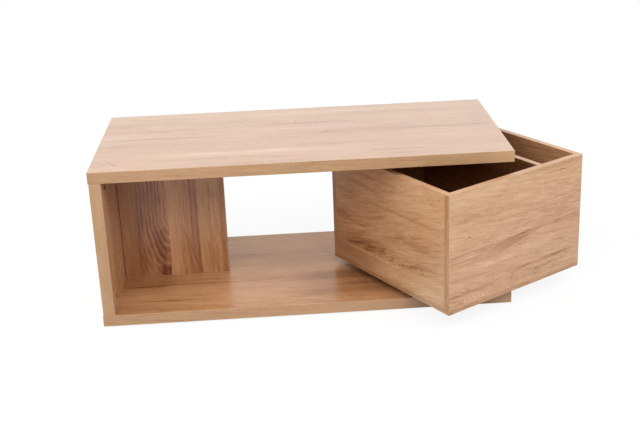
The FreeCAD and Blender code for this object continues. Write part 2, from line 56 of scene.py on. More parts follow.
class Signal:
    """A number that varies over a surface. Arithmetic on it adds the nodes that work it out."""

    def __init__(self, socket):
        self.socket = socket

    def step(self, operation, *others):
        """The result of a Math node on this number and the others."""
        sockets = dict(enumerate((self, *others)))
        made = shader_node(self.socket.id_data, "ShaderNodeMath", sockets, operation=operation)
        return Signal(made.outputs[0])

    def __add__(self, other):
        return self.step("ADD", other)

    def __sub__(self, other):
        return self.step("SUBTRACT", other)

    def __mul__(self, other):
        return self.step("MULTIPLY", other)

    def __truediv__(self, other):
        return self.step("DIVIDE", other)

    def __abs__(self):
        return self.step("ABSOLUTE")

    def rise(self, low, high):
        """A soft step from 0 to 1 as the number goes from low to high."""
        tree = self.socket.id_data
        sockets = {"Value": self, "From Min": low, "From Max": high}
        made = shader_node(tree, "ShaderNodeMapRange", sockets, interpolation_type="SMOOTHSTEP")
        return Signal(made.outputs[0])


def noise(place, pitch, detail, roughness=0.55):
    """Noise from -0.5 to 0.5. Pitch is its frequency per metre along, across and through the grain."""
    tree = place.id_data
    scaled = shader_node(tree, "ShaderNodeVectorMath", {0: place, 1: pitch}, operation="MULTIPLY")
    sockets = {"Vector": scaled.outputs[0], "Scale": 1.0, "Detail": detail, "Roughness": roughness}
    return Signal(shader_node(tree, "ShaderNodeTexNoise", sockets).outputs[0]) - 0.5


def parts_of(place):
    """The along, across and through parts of a place."""
    made = shader_node(place.id_data, "ShaderNodeSeparateXYZ", {0: place})
    return [Signal(part) for part in made.outputs]


def place_from(along, across, through):
    """A place put together from its parts."""
    tree = through.socket.id_data
    made = shader_node(tree, "ShaderNodeCombineXYZ", {"X": along, "Y": across, "Z": through})
    return made.outputs[0]


def add_places(first, second):
    """A place moved by another."""
    made = shader_node(first.id_data, "ShaderNodeVectorMath", {0: first, 1: second}, operation="ADD")
    return made.outputs[0]


def srgb(red, green, blue):
    """A colour as a screen shows it, 0 to 255, in the linear values that a shader takes."""
    def linear(level):
        share = level / 255
        return share / 12.92 if share <= 0.04045 else ((share + 0.055) / 1.055) ** 2.4
    return (linear(red), linear(green), linear(blue), 1.0)


def colour_ramp(tone, stops):
    """Colours from dark to pale by a tone from 0 to 1."""
    made = shader_node(tone.socket.id_data, "ShaderNodeValToRGB", {"Fac": tone})
    elements = made.color_ramp.elements
    while len(elements) < len(stops):
        elements.new(0.5)
    for element, (where, colour) in zip(elements, stops):
        element.position = where
        element.color = colour
    return made.outputs[0]


def mix_colours(tree, share, first, second, way="MIX"):
    """Two colours mixed, by a share of the second that may vary over the surface."""
    sockets = {"Factor": share, 6: first, 7: second}
    return shader_node(tree, "ShaderNodeMix", sockets, data_type="RGBA", blend_type=way).outputs[2]


def start_group(name, inputs, outputs):
    """A new node group, and the sockets that give what is put into it."""
    tree = bpy.data.node_groups.new(name, "ShaderNodeTree")
    for direction, sockets in (("INPUT", inputs), ("OUTPUT", outputs)):
        for socket, kind in sockets.items():
            tree.interface.new_socket(socket, in_out=direction, socket_type=f"NodeSocket{kind}")
    return tree, shader_node(tree, "NodeGroupInput").outputs


def start_figure(name, part_names):
    """A group for a figure of the print: its tree, the place on the board, and the figure's parts."""
    inputs = {"Place": "Vector"} | dict.fromkeys(part_names, "Float")
    tree, given = start_group(name, inputs, {"Depth": "Float"})
    return tree, given["Place"], {part: Signal(given[part]) for part in part_names}


STREAK_PARTS = ("Along", "Across", "Reach", "Up", "Down", "Lean", "Depth")
SIDE_CORE, END_CORE = 0.1, 0.3


def make_streak():
    """One streak: dark where Depth is positive, fading out along its reach and to either side."""
    tree, place, part = start_figure("streak", STREAK_PARTS)
    along, across, _ = parts_of(place)
    ahead = along - part["Along"]
    aside = across - part["Across"] - ahead * part["Lean"]
    width = part["Down"] + aside.step("GREATER_THAN", 0.0) * (part["Up"] - part["Down"])
    fade = (abs(aside) / width).rise(1.0, SIDE_CORE) * (abs(ahead) / part["Reach"]).rise(1.0, END_CORE)
    shader_node(tree, "NodeGroupOutput", {"Depth": fade * part["Depth"]})
    return tree


RING_PARTS = ("Along", "Across", "Pitch", "Reach", "Top", "Stretch", "Side", "Depth")
LATE_START, LATE_FULL, LATE_END = 0.05, 0.72, 0.88
RING_RIPPLE_PITCH, RING_RIPPLE = (16.0, 50.0, 50.0), 0.9
RING_BREAK_PITCH, RING_BREAK = (14.0, 60.0, 60.0), (-0.25, 0.10)
RING_CORE = 0.4
STAVE_JOINT = 0.0006


def make_rings():
    """Growth rings that the saw cut into arches: dark late wood, nested on one side of a stave's edge.

    Above Top the arches no longer close, and their lines run straight on.
    """
    tree, place, part = start_figure("rings", RING_PARTS)
    along, across, _ = parts_of(place)
    ahead = (along - part["Along"]).step("MINIMUM", part["Top"]) * part["Stretch"]
    aside = across - part["Across"]
    ripple = noise(place, RING_RIPPLE_PITCH, detail=2.0) * part["Pitch"] * RING_RIPPLE
    radius = (ahead * ahead + aside * aside).step("SQRT") + ripple
    phase = (radius / part["Pitch"]).step("FRACT")
    line = phase.rise(LATE_START, LATE_FULL) * phase.rise(1.0, LATE_END)
    broken = noise(place, RING_BREAK_PITCH, detail=2.0).rise(*RING_BREAK)
    one_side = (aside * part["Side"]).rise(-STAVE_JOINT, STAVE_JOINT)
    fade = (radius / part["Reach"]).rise(1.0, RING_CORE)
    shader_node(tree, "NodeGroupOutput", {"Depth": line * broken * one_side * fade * part["Depth"]})
    return tree


SWAY_PITCH, SWAY = (3.0, 7.0, 7.0), 0.012
RIPPLE_PITCH, RIPPLE = (24.0, 120.0, 120.0), 0.0030


def make_grain_wander():
    """The grain's wander: some millimetres to either side along a board, and a fine ripple."""
    inputs = {"Place": "Vector", "Cut": "Vector"}
    tree, given = start_group("grain_wander", inputs, {"Place": "Vector"})
    moved = add_places(given["Place"], given["Cut"])
    sway = noise(moved, SWAY_PITCH, detail=2.0) * SWAY + noise(moved, RIPPLE_PITCH, detail=2.0) * RIPPLE
    aside = place_from(0.0, sway, sway)
    shader_node(tree, "NodeGroupOutput", {"Place": add_places(given["Place"], aside)})
    return tree


OAK_TONES = (
    (0.00, srgb(88, 47, 23)),
    (0.25, srgb(143, 95, 59)),
    (0.52, srgb(190, 146, 109)),
    (0.78, srgb(208, 168, 131)),
    (1.00, srgb(226, 194, 160)),
)
STREAK_RED = srgb(128, 74, 54)
# colour of the pale edge line: partly worn paper, partly a painted highlight on the square edges
RUBBED_EDGE_AND_HIGHLIGHT = srgb(214, 178, 142)
PINK_DRIFT = (1.015, 0.99, 1.005, 1.0)
OLIVE_DRIFT = (0.985, 1.005, 0.97, 1.0)
BAND_PITCH = (1.8, 16.0, 16.0)
RIB_PITCH = (10.0, 150.0, 150.0)
DASH_PITCH = (30.0, 420.0, 420.0)
HAIR_PITCH = (70.0, 1500.0, 1500.0)
PORE_PITCH, PORE_EDGE = (85.0, 520.0, 520.0), (0.07, 0.18)
PORE_PATCH_PITCH, PORE_PATCH = (7.0, 26.0, 26.0), (-0.06, 0.14)
TICK_PITCH, TICK_EDGE = (150.0, 22.0, 22.0), (0.04, 0.16)
TICK_PATCH_PITCH, TICK_PATCH = (11.0, 19.0, 19.0), (0.08, 0.24)
DRIFT_PITCH, DRIFT_SPAN = (2.5, 9.0, 9.0), (-0.2, 0.2)
EDGE_LINE_PITCH = (60.0, 60.0, 60.0)
HAIR_TONE, PORE_TONE, TICK_TONE = 0.24, 0.30, 0.15
DARK_TONE, PALE_TONE, MOST_RED = 0.60, 0.38, 0.8
TORN_BY_RIBS, TORN_BY_DASHES, TORN_MEAN = 2.6, 2.0, 0.75
# the pale edge line, partly wear and partly painted highlight, and the roughness where it is rubbed
EDGE_LINE_START, EDGE_LINE_FULL, EDGE_LINE_RAGGED, EDGE_LINE_SHARE = -0.0011, 0.0002, 0.0014, 0.22
RESIN_ROUGH, DASH_ROUGH, PORE_ROUGH, WEAR_ROUGH = 0.27, -0.08, 0.16, 0.2
HAIR_HEIGHT = 0.5
PRINT_USUAL = {
    "Tone": 0.55,
    "Bands": 0.55,
    "Ribs": 0.52,
    "Dashes": 0.52,
    "Flecks": 0.5,
    "Saw Marks": 0.5,
    "Redness": 0.0,
    "Slant": 0.06,
    "Figure": 0.0,
}


def make_oak_print():
    """The print: place in the board in, colour, roughness and height of the resin's texture out."""
    inputs = {"Place": "Vector", "Board": "Vector", "Cut": "Vector", "Half Size": "Vector", "Tint": "Color"}
    outputs = {"Color": "Color", "Roughness": "Float", "Height": "Float"}
    tree, given = start_group("oak_print", inputs | dict.fromkeys(PRINT_USUAL, "Float"), outputs)
    level = {name: Signal(given[name]) for name in PRINT_USUAL}
    place = add_places(given["Place"], given["Cut"])
    along, across, through = parts_of(place)
    fibre = place_from(along, across + along * level["Slant"], through)

    # broad pale and brown bands, and the fibres that cross them at a small angle: ribs, dashes, hairs, pores
    bands = noise(place, BAND_PITCH, detail=3.0)
    ribs = noise(fibre, RIB_PITCH, detail=3.0, roughness=0.65)
    dashes = noise(fibre, DASH_PITCH, detail=2.0, roughness=0.6)
    hairs = noise(fibre, HAIR_PITCH, detail=2.0)
    thick = noise(place, PORE_PATCH_PITCH, detail=2.0).rise(*PORE_PATCH)
    pores = noise(fibre, PORE_PITCH, detail=1.5).rise(*PORE_EDGE) * thick * level["Flecks"]

    # saw marks: thin pale ticks across the grain, in patches
    ticks = noise(place, TICK_PITCH, detail=1.0).rise(*TICK_EDGE)
    patch = noise(place, TICK_PATCH_PITCH, detail=1.0).rise(*TICK_PATCH) * level["Saw Marks"]

    # placed streaks and rings, broken up by the fibres that they are printed in
    torn = (ribs * TORN_BY_RIBS + dashes * TORN_BY_DASHES + TORN_MEAN).step("MAXIMUM", 0.0)
    dark = level["Figure"].step("MAXIMUM", 0.0) * torn
    pale = level["Figure"].step("MINIMUM", 0.0)
    tone = level["Tone"] + bands * level["Bands"] + ribs * level["Ribs"] + dashes * level["Dashes"]
    tone = tone + hairs * HAIR_TONE - dark * DARK_TONE - pale * PALE_TONE
    tone = tone - pores * PORE_TONE + ticks * patch * TICK_TONE

    # colour: dark figures redder, each board in its own tint, and a slow drift between pink and olive
    colour = colour_ramp(tone, OAK_TONES)
    colour = mix_colours(tree, (dark * level["Redness"]).step("MINIMUM", MOST_RED), colour, STREAK_RED)
    colour = mix_colours(tree, 1.0, colour, given["Tint"], "MULTIPLY")
    drift = noise(place, DRIFT_PITCH, detail=2.0).rise(*DRIFT_SPAN)
    drift_colour = mix_colours(tree, drift, PINK_DRIFT, OLIVE_DRIFT)
    colour = mix_colours(tree, 1.0, colour, drift_colour, "MULTIPLY")

    # sharp edges: paler along the last half millimetre, more here and less there; partly paper rubbed paler,
    # partly a painted highlight where the square edges would catch the light
    gaps = []
    for part, half in zip(parts_of(given["Board"]), parts_of(given["Half Size"])):
        gaps.append(abs(part) - half)
    inner = gaps[0].step("MINIMUM", gaps[1])
    outer = gaps[0].step("MAXIMUM", gaps[1]).step("MINIMUM", gaps[2])
    edge = inner.step("MAXIMUM", outer) + noise(place, EDGE_LINE_PITCH, detail=3.0) * EDGE_LINE_RAGGED
    worn_and_highlit = edge.rise(EDGE_LINE_START, EDGE_LINE_FULL) * EDGE_LINE_SHARE

    results = {
        "Color": mix_colours(tree, worn_and_highlit, colour, RUBBED_EDGE_AND_HIGHLIGHT),
        "Roughness": dashes * DASH_ROUGH + pores * PORE_ROUGH + worn_and_highlit * WEAR_ROUGH + RESIN_ROUGH,
        "Height": dashes + hairs * HAIR_HEIGHT - pores,
    }
    shader_node(tree, "NodeGroupOutput", results)
    return tree


streak_group = make_streak()
rings_group = make_rings()
grain_wander = make_grain_wander()
oak_print = make_oak_print()


def own_box(node, turn):
    """Middle of a piece, in the row's frame, and its half size along its body's own axes."""
    back = Matrix.Rotation(-turn, 3, "Z")
    corners = [back @ vertex.co for vertex in nodes[node].data.vertices]
    low = Vector([min(values) for values in zip(*corners)])
    high = Vector([max(values) for values in zip(*corners)])
    return back.inverted() @ ((low + high) / 2), (high - low) / 2


def start_material(name):
    """A new material with an empty tree, and the place on the piece."""
    material = bpy.data.materials.new(name)
    material.use_nodes = True
    material.node_tree.nodes.clear()
    place = shader_node(material.node_tree, "ShaderNodeTexCoord").outputs["Object"]
    return material, material.node_tree, place


def end_material(tree, height, strength, distance, sockets):
    """Add the bump of a surface, its shader and the output."""
    bump = {"Height": height, "Strength": strength, "Distance": distance}
    normal = shader_node(tree, "ShaderNodeBump", bump).outputs[0]
    surface = shader_node(tree, "ShaderNodeBsdfPrincipled", {"Normal": normal} | sockets)
    shader_node(tree, "ShaderNodeOutputMaterial", {"Surface": surface.outputs[0]})


def finish(material, *names):
    """Give CAD pieces a material in place of their own."""
    for name in names:
        nodes[name].data.materials.clear()
        nodes[name].data.materials.append(material)


MILLIMETRE_PARTS = ("Along", "Across", "Reach", "Up", "Down", "Pitch", "Top")


def figure_depths(tree, place, group, part_names, rows):
    """The depths of placed streaks or rings, one group node for each row, with its lengths in millimetres."""
    depths = []
    for row in rows:
        sockets = {"Place": place}
        for part, number in zip(part_names, row):
            sockets[part] = number / 1000 if part in MILLIMETRE_PARTS else number
        depths.append(Signal(shader_node(tree, "ShaderNodeGroup", sockets, node_tree=group).outputs[0]))
    return depths


RESIN_BUMP = 0.00006
RESIN_BUMP_STRENGTH = 0.6
RESIN_COAT_ROUGH = 0.2


def oak(node, grain, cut, turn=0.0, streaks=(), rings=(), seams=(), tint=(1, 1, 1), index=1.55, coat=0.0,
        **levels):
    """Finish a board in the oak print.

    Grain names the axes that run along, across and through it, and cut says where it lies in the print.
    Streaks and rings follow the grain's wander, and seams run straight. Index and coat are the resin's
    refractive index and gloss, and levels change the usual print.
    """
    material, tree, place = start_material(f"oak_{node}")
    middle, half = own_box(node, turn)
    turned = {"Vector": place, "Location": middle, "Rotation": (0, 0, turn)}
    own_place = shader_node(tree, "ShaderNodeMapping", turned, vector_type="TEXTURE").outputs[0]
    axes = dict(zip("xyz", zip(parts_of(own_place), half)))
    board = place_from(*(axes[axis][0] for axis in grain))
    wander = {"Place": board, "Cut": cut}
    swayed = shader_node(tree, "ShaderNodeGroup", wander, node_tree=grain_wander).outputs[0]

    sockets = PRINT_USUAL | levels
    depths = figure_depths(tree, swayed, streak_group, STREAK_PARTS, streaks)
    depths += figure_depths(tree, swayed, rings_group, RING_PARTS, rings)
    depths += figure_depths(tree, board, streak_group, STREAK_PARTS, seams)
    if depths:
        sockets["Figure"] = sum(depths[1:], depths[0])
    half_size = [axes[axis][1] for axis in grain]
    sockets |= {"Place": swayed, "Board": board, "Cut": cut, "Half Size": half_size, "Tint": (*tint, 1)}
    printed = shader_node(tree, "ShaderNodeGroup", sockets, node_tree=oak_print).outputs

    resin = {
        "Base Color": printed["Color"],
        "Roughness": printed["Roughness"],
        "IOR": index,
        "Coat Weight": coat,
        "Coat Roughness": RESIN_COAT_ROUGH,
    }
    end_material(tree, printed["Height"], RESIN_BUMP_STRENGTH, RESIN_BUMP, resin)
    finish(material, node)


# rows of streaks: along, across, reach, width up and width down in millimetres, lean, depth (pale below 0)
BASE_STREAKS = (
    (-228, -71, 230, 3, 6, 0, 0.50),
    (-406, -76, 60, 6, 8, 0, 0.40),
    (-342, -161, 100, 3, 5, 0, 0.55),
    (-292, -132, 130, 8, 10, 0, 0.20),
    (-42, -84, 130, 4, 6, 0, 0.25),
    (-430, -40, 160, 150, 150, 0, 0.33),
    # painted shadow: a darker band right of the box's front corner
    (190, -120, 170, 14, 18, 0, 0.25),
    (-50, 90, 260, 12, 15, 0, 0.20),
    # painted light: a broad paler patch in the open middle, where light comes in from behind
    (-60, 60, 220, 170, 190, 0, -0.16),
    # painted shadow: a broad darker patch beside and under the box
    (120, -80, 200, 110, 150, 0, 0.42),
)
oak(
    "bottom_board", grain="xyz", cut=(3.1, 0.7, 0.2), streaks=BASE_STREAKS, tint=(0.94, 0.88, 0.77),
    index=1.50, Tone=0.54, Bands=0.6
)

# Base edging: 1 mm plastic strips in the same oak print, glued on the base board's four edges and trimmed
# flush with its faces. Their print is calmer than the boards', like that of all the table's thick edges.
EDGING_PRINT = {
    "tint": (0.93, 0.96, 0.92),
    "Bands": 0.45,
    "Ribs": 0.26,
    "Dashes": 0.26,
    "Flecks": 0.2,
    "Saw Marks": 0.2,
}
oak("bottom_long_edging", grain="xzy", cut=(5.2, 1.3, 0.1), Tone=0.52, **EDGING_PRINT)
oak("bottom_end_edging", grain="yzx", cut=(6.4, 2.3, 0.4), Tone=0.52, **EDGING_PRINT)

# Glides: four round feet moulded in brown plastic, pressed on under the base board's corners. They slide on
# the floor, so their undersides are scuffed paler.
BROAD_PER_FINE = 7
BROAD_TONE, FINE_TONE, MEAN_TONE = 0.9, 0.7, 0.5
BROAD_ROUGH, FINE_ROUGH = 0.12, 0.10
SCUFF_RAGGED, SCUFF_SHARE = 1.6, 0.7
FINISH_BUMP_STRENGTH = 0.5


def make_finish(name, tones, pitch, rough, bump, metal=0.0, scuff=None):
    """A moulded, cast, turned or painted finish: tone, gloss and height from noise at two scales.

    Scuff gives the heights up to which the underside is rubbed fully and at all, and its rubbed colour.
    """
    material, tree, place = start_material(name)
    broad = noise(place, [number / BROAD_PER_FINE for number in pitch], detail=3.0)
    fine = noise(place, pitch, detail=2.0, roughness=0.6)
    colour = colour_ramp(broad * BROAD_TONE + fine * FINE_TONE + MEAN_TONE, tones)
    if scuff:
        low, high, rubbed = scuff
        height = parts_of(place)[2]
        share = height.rise(high, low) * (fine * SCUFF_RAGGED + SCUFF_SHARE)
        colour = mix_colours(tree, share.step("MAXIMUM", 0.0).step("MINIMUM", 1.0), colour, rubbed)
    gloss = broad * BROAD_ROUGH + fine * FINE_ROUGH + rough
    sockets = {"Base Color": colour, "Roughness": gloss, "Metallic": metal}
    end_material(tree, fine, FINISH_BUMP_STRENGTH, bump, sockets)
    return material


GLIDE_TONES = ((0.2, srgb(96, 72, 54)), (0.5, srgb(114, 88, 68)), (0.8, srgb(132, 104, 82)))
GLIDE_SCUFF = (0.0003, 0.0012, srgb(160, 138, 118))
glide_plastic = make_finish(
    "glide_plastic", GLIDE_TONES, pitch=(700, 700, 700), rough=0.48, bump=0.00010, scuff=GLIDE_SCUFF
)
finish(glide_plastic, "glides")

# Side board: 28 mm board upright at the left end, grain upright, held by dowels and cam fittings, with an
# edging strip down its front and back edges.
oak("side_board", grain="zyx", cut=(1.3, 4.1, 0.6), Tone=0.51, Bands=0.45, Ribs=0.34, Dashes=0.36)
oak("side_edging", grain="zxy", cut=(2.6, 5.7, 0.9), Tone=0.51, **EDGING_PRINT)

# Side fittings: beech dowels glued into the board's ends, plated bolts screwed into top and base, and cast
# cams in round pockets on the inner face, turned to draw the bolts in.
BEECH_TONES = ((0.2, srgb(176, 128, 88)), (0.5, srgb(205, 160, 116)), (0.8, srgb(222, 184, 142)))
# the cams' dark brown-grey is darker than bare zinc: painted shade of the pockets they sit in
CAST_TONES = ((0.2, srgb(62, 50, 42)), (0.5, srgb(84, 72, 63)), (0.8, srgb(112, 101, 92)))
PLATED_TONES = ((0.2, srgb(168, 168, 170)), (0.5, srgb(192, 192, 195)), (0.8, srgb(214, 214, 216)))
upright_beech = make_finish("beech_upright", BEECH_TONES, pitch=(900, 900, 60), rough=0.62, bump=0.00012)
plated_steel = make_finish(
    "plated_steel", PLATED_TONES, pitch=(500, 500, 1600), rough=0.30, bump=0.00003, metal=1.0
)
cast_zinc = make_finish("cast_zinc", CAST_TONES, pitch=(800, 800, 800), rough=0.52, bump=0.00008, metal=0.85)
finish(upright_beech, "side_dowels")
finish(plated_steel, "side_cam_bolts")
finish(cast_zinc, "side_cams")

# Centre board: 15 mm board upright in the middle of the depth, let in between top and base on dowels. Its
# print shows nested arches that end at a joint between two staves, and a brown band.
CENTRE_STREAKS = (
    # brown ground of the arches, and dark wedges below them at the joint
    (-10, -46, 130, 34, 40, 0, 0.22),
    (-110, -34, 90, 20, 28, 0, 0.26),
    (-158, -14.5, 24, 1.5, 40, 0, 0.80),
    (-121, -14.5, 17, 1.5, 26, 0, 0.45),
    (-96, -14.5, 12, 1.5, 18, 0, 0.30),
    # brown stave to the left of the arches, and its lines
    (0, -100, 500, 45, 40, 0, 0.20),
    (-40, -87, 150, 12, 12, 0, 0.10),
    (-90, -92, 90, 3, 3, 0, 0.20),
    (-70, -80, 110, 2.5, 3, 0, 0.20),
    # brown band to the right, its lines, and two that lean across it
    (0, 64.7, 500, 1, 36, 0, 0.34),
    (60, 30.7, 200, 2, 2.4, 0, 0.32),
    (70, 36.5, 190, 2, 2.4, 0, 0.28),
    (40, 48.5, 180, 2.4, 3, 0, 0.40),
    (30, 61, 220, 3, 3, 0, 0.34),
    (-120, 50, 90, 2.4, 3.4, -0.30, 0.30),
    (-120, 39, 90, 2.4, 3, -0.17, 0.24),
    # pale stave right of the joint, the brown free end, and a faint line
    (0, -11.5, 500, 36, 1.2, 0, -0.34),
    (0, 127, 500, 16, 10, 0, 0.30),
    (-60, 95, 200, 3, 3, 0, 0.15),
)
# the dark joint where it meets the side board: the board end's dark line, widened by painted shadow of the
# narrow gap there
CENTRE_SEAMS = ((0, -134.6, 500, 2.6, 2.6, 0, 2.2),)
# row of rings: along, across, pitch, reach and top in millimetres, stretch, side, depth
CENTRE_RINGS = ((-10, -12.5, 10, 115, 0, 0.40, -1, 0.60),)
oak(
    "centre_board", grain="zxy", cut=(7.7, 3.4, 0.3), streaks=CENTRE_STREAKS, rings=CENTRE_RINGS,
    seams=CENTRE_SEAMS, tint=(0.965, 0.865, 0.75), Tone=0.53, Bands=0.4, Ribs=0.62, Dashes=0.62, Flecks=0.9,
    Redness=0.5
)
oak("centre_edging", grain="zyx", cut=(4.4, 1.9, 0.8), Tone=0.60, Bands=0.3)
finish(upright_beech, "centre_dowels")

# Post and foot: a steel tube on a round plate, both powder-coated grey, screwed to the base board near its
# back right corner. It carries the top's right end, and the box swings on it.
COAT_TONES = ((0.2, srgb(148, 148, 150)), (0.5, srgb(158, 158, 160)), (0.8, srgb(170, 170, 172)))
powder_coat = make_finish("powder_coat", COAT_TONES, pitch=(1100, 1100, 1100), rough=0.46, bump=0.00008)
finish(powder_coat, "post_foot", "pivot_post")

# Foot screws: four plated pan-head screws with a cross recess and a rolled thread, driven through the holes
# of the foot into the base board.
HEAD_PROFILE = ((0.0019, 0.00235), (0.0029, 0.0021), (0.0037, 0.0015), (0.0040, 0.0008), (0.0040, 0.0))
THREAD_CREST, THREAD_ROOT, THREAD_PITCH = 0.0019, 0.0014, 0.0018
TIP_TURNS, TIP_RADIUS = 3, 0.0002
SCREW_STEPS = 20
RECESS_ARM, RECESS_REACH, RECESS_DEPTH, RECESS_TAPER = 0.00055, 0.0017, 0.0011, 0.6
FLAT_WITHIN = 1e-6


def crown_of(screw):
    """The flat faces on top of a screw's head."""
    lowest = HEAD_PROFILE[0][1] - FLAT_WITHIN
    return [face for face in screw.faces if face.calc_center_median().z > lowest]


def make_screw(length):
    """One screw with its head upwards and its bearing face at height 0."""
    screw = bmesh.new()
    outline = [*HEAD_PROFILE, (THREAD_CREST, 0.0)]
    turns = math.ceil(length / THREAD_PITCH) - TIP_TURNS
    for number in range(1, turns + 1):
        down = -THREAD_PITCH * number
        outline += [(THREAD_ROOT, down + THREAD_PITCH / 2), (THREAD_CREST, down)]
    outline += [(THREAD_ROOT, -THREAD_PITCH * (turns + 1)), (TIP_RADIUS, -length)]
    points = [screw.verts.new((radius, 0, height)) for radius, height in outline]
    rail = [screw.edges.new(pair) for pair in zip(points, points[1:])]
    upright = {"axis": (0, 0, 1), "cent": (0, 0, 0)}
    around = {"angle": math.tau, "steps": SCREW_STEPS, "use_merge": True}
    bmesh.ops.spin(screw, geom=[*points, *rail], **upright, **around)
    bmesh.ops.holes_fill(screw, edges=[edge for edge in screw.edges if edge.is_boundary], sides=0)

    # the crown is cut across both ways, and the cross between the cuts is sunk into the head
    for axis in (Vector((1, 0, 0)), Vector((0, 1, 0))):
        for reach in (-RECESS_ARM, -RECESS_REACH, RECESS_ARM, RECESS_REACH):
            crown = crown_of(screw)
            edges = dict.fromkeys(edge for face in crown for edge in face.edges)
            bmesh.ops.bisect_plane(screw, geom=[*crown, *edges], plane_co=axis * reach, plane_no=axis)
    recess = []
    for face in crown_of(screw):
        middle = face.calc_center_median()
        near, far = sorted((abs(middle.x), abs(middle.y)))
        if near < RECESS_ARM and far < RECESS_REACH:
            recess.append(face)
    sunk = bmesh.ops.extrude_face_region(screw, geom=recess)["geom"]
    sunk_points = [item for item in sunk if isinstance(item, bmesh.types.BMVert)]
    bmesh.ops.scale(screw, vec=(RECESS_TAPER, RECESS_TAPER, 1), verts=sunk_points)
    bmesh.ops.translate(screw, vec=(0, 0, -RECESS_DEPTH), verts=sunk_points)
    bmesh.ops.recalc_face_normals(screw, faces=screw.faces[:])
    mesh = bpy.data.meshes.new("screw")
    screw.to_mesh(mesh)
    screw.free()
    return mesh


FIRST_TURN, NEXT_TURN = 0.7, 1.9


def drive_screws(node, body, screw, spots, upside_down=False):
    """Put a screw at each spot, each turned a little further than the last, in place of a CAD node."""
    driven = bmesh.new()
    for number, spot in enumerate(spots):
        first = len(driven.verts)
        driven.from_mesh(screw)
        driven.verts.ensure_lookup_table()
        place = Matrix.Translation(spot) @ Matrix.Rotation(FIRST_TURN + NEXT_TURN * number, 4, "Z")
        if upside_down:
            place = place @ Matrix.Rotation(math.pi, 4, "X")
        bmesh.ops.transform(driven, matrix=place, verts=driven.verts[first:])
    mesh = bpy.data.meshes.new(f"{node}_driven")
    driven.to_mesh(mesh)
    driven.free()
    mesh.materials.append(plated_steel)
    piece = bpy.data.objects.new(f"{node}_driven", mesh)
    bpy.context.scene.collection.objects.link(piece)
    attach(piece, body)
    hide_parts(node)


PIVOT = Vector((0.430, 0.155, 0.0))
SCREW_CIRCLE = 0.100
FOOT_FACE = 0.035
PLATE_SCREW_LENGTH = 0.022
plate_screw = make_screw(PLATE_SCREW_LENGTH)
corner = SCREW_CIRCLE / 2 * math.sqrt(0.5)
plate_spots = [PIVOT + Vector((x, y, 0)) for x in (-corner, corner) for y in (-corner, corner)]
foot_spots = [spot + Vector((0, 0, FOOT_FACE)) for spot in plate_spots]
drive_screws("foot_screws", "table", plate_screw, foot_spots)

# Thrust ring and lower bush: turned from off-white nylon. The box's bottom runs on the ring, which holds it
# off the base board, and the bush lines the bottom's hole round the post.
NYLON_TONES = ((0.2, srgb(206, 204, 196)), (0.5, srgb(222, 220, 213)), (0.8, srgb(234, 232, 226)))
nylon = make_finish("nylon", NYLON_TONES, pitch=(300, 300, 1500), rough=0.42, bump=0.00005)
finish(nylon, "thrust_ring", "lower_bush")

# Box bottom: 12 mm board under the walls, screwed up into them, with a printed edging strip on each of its
# four edges. The box is drawn swung open, so its prints are turned with it.
BOX_OPEN = math.radians(32.3)
BOTTOM_EDGING_TINT = (0.97, 0.94, 0.90)
# its print is darker than the walls' outsides: painted shade of the box's inside
oak("box_bottom", grain="yxz", cut=(5.8, 3.7, 0.9), turn=BOX_OPEN, Tone=0.38)
oak(
    "box_bottom_long_edging", grain="xzy", cut=(2.9, 7.3, 0.6), turn=BOX_OPEN, tint=BOTTOM_EDGING_TINT,
    Tone=0.50, Bands=0.3
)
oak(
    "box_bottom_short_edging", grain="yzx", cut=(3.8, 6.1, 0.5), turn=BOX_OPEN, tint=BOTTOM_EDGING_TINT,
    Tone=0.44, Bands=0.3
)
BOX_UNDER = 0.049
WALL_SCREW_LENGTH = 0.040
# middles of the walls, and the screws' places along them, from the pivot with the box shut
LONG_WALLS, LONG_WALL_SCREWS = (-0.3725, 0.0625), (-0.260, -0.040)
SHORT_WALLS, SHORT_WALL_SCREWS = (-0.3625, -0.0655, 0.0625), (-0.2675, -0.0425)
wall_spots = [(x, y) for y in LONG_WALLS for x in LONG_WALL_SCREWS]
wall_spots += [(x, y) for x in SHORT_WALLS for y in SHORT_WALL_SCREWS]
swung = Matrix.Rotation(BOX_OPEN, 3, "Z")
bottom_spots = [PIVOT + swung @ Vector((x, y, BOX_UNDER)) for x, y in wall_spots]
wall_screw = make_screw(WALL_SCREW_LENGTH)
drive_screws("box_bottom_screws", "swing_box", wall_screw, bottom_spots, upside_down=True)

